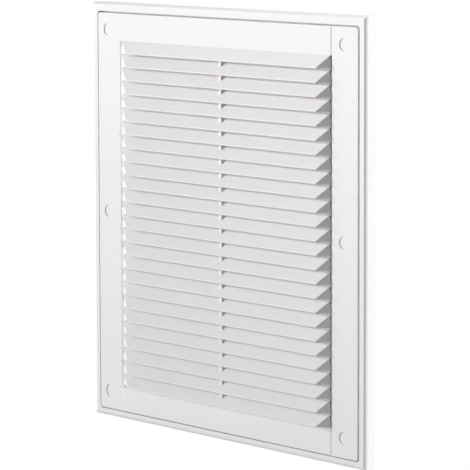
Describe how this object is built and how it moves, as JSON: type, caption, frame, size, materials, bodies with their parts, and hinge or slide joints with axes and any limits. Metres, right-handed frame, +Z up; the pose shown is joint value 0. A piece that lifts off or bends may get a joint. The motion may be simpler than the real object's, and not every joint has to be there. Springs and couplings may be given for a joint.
{
  "type": "ventilation grille",
  "caption": "Square wall ventilation grille: a narrow rounded surround with a snap-in front panel of overlapping, downward sloping fixed louvre slats.",
  "frame": {"origin": "middle of the four corner screw holes, on the frame's back face that lies on the wall", "axes": "+X along the width, +Z up, -Y out of the wall towards the viewer"},
  "size_m": [0.25, 0.0097, 0.25],
  "materials": {
    "frame_plastic": "satin white",
    "panel_plastic": "satin white"
  },
  "bodies": {
    "root": {"outer_frame": "frame_plastic", "louvre_panel": "panel_plastic"}
  },
  "joints": []
}
